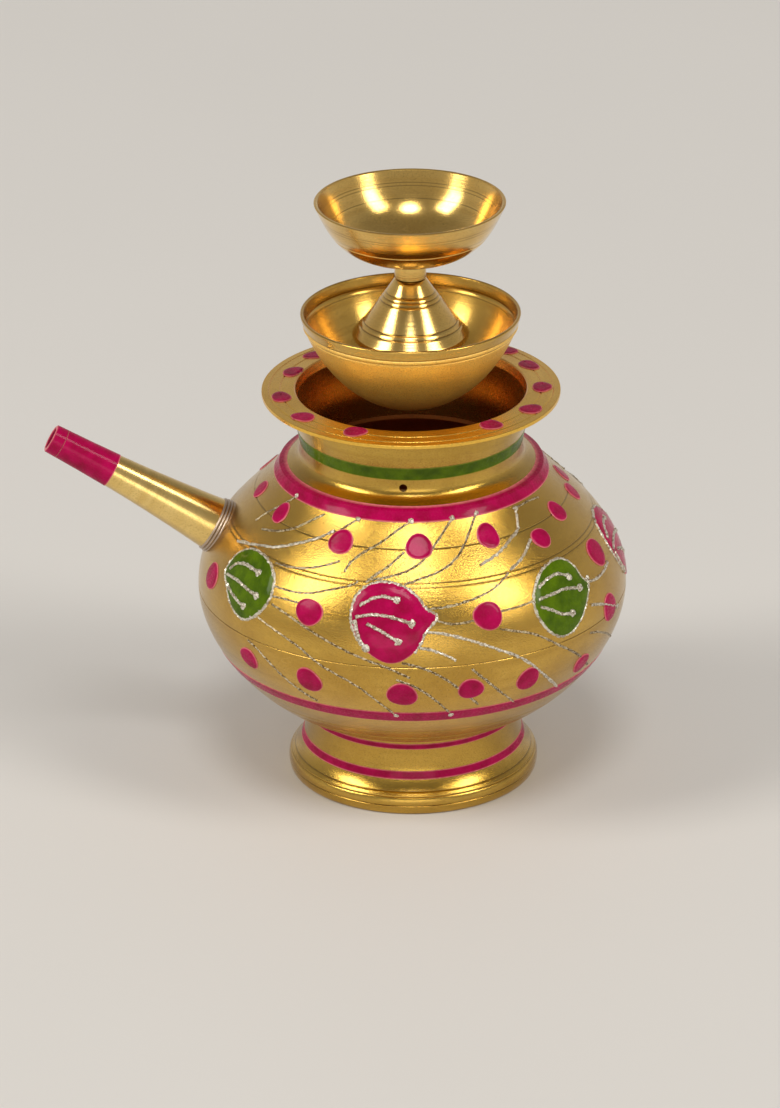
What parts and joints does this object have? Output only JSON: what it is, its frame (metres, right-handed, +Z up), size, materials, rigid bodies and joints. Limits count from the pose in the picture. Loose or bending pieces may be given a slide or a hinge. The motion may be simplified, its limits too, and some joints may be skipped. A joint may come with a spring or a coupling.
{
  "type": "karwa lota",
  "caption": "Spouted brass water pot with a flared rim, waisted neck, round belly and turned foot, with a lift-out bowl and a stemmed oil lamp held over its mouth.",
  "frame": {"origin": "on the surface that the pot stands on, under the middle of the whole set's box", "axes": "+Z up along the pot's turning axis, -X towards the spout, +Y away from the viewer"},
  "size_m": [0.1622, 0.12, 0.1695],
  "materials": {
    "pot_brass": "polished, with fine lathe lines and light handling wear",
    "katori_brass": "bright inside, fine-grained satin outside below a turned line",
    "diya_brass": "bright polish with turned lines",
    "braze_metal": "dull silvery brown ridges",
    "magenta_enamel": "glossy hand-painted enamel",
    "green_enamel": "glossy hand-painted enamel",
    "silver_glitter": "raised glitter line"
  },
  "bodies": {
    "lota": {"foot_ring": "pot_brass", "basin_shell": "pot_brass", "shoulder_shell": "pot_brass", "neck_collar": "pot_brass", "mouth_rim": "pot_brass", "spout_tube": "pot_brass", "spout_root_collar": "braze_metal", "spout_lip_ring": "magenta_enamel"},
    "katori": {"katori_bowl": "katori_brass"},
    "diya": {"diya_cup": "diya_brass", "diya_stand": "diya_brass", "diya_stud": "diya_brass"}
  },
  "joints": [
    {"name": "katori_lift", "type": "slide", "parent": "lota", "child": "katori", "axis": [0, 0, 1], "range_m": [-0.0306, 0.06]},
    {"name": "diya_lift", "type": "slide", "parent": "katori", "child": "diya", "axis": [0, 0, 1], "range_m": [-0.0129, 0.06]}
  ]
}
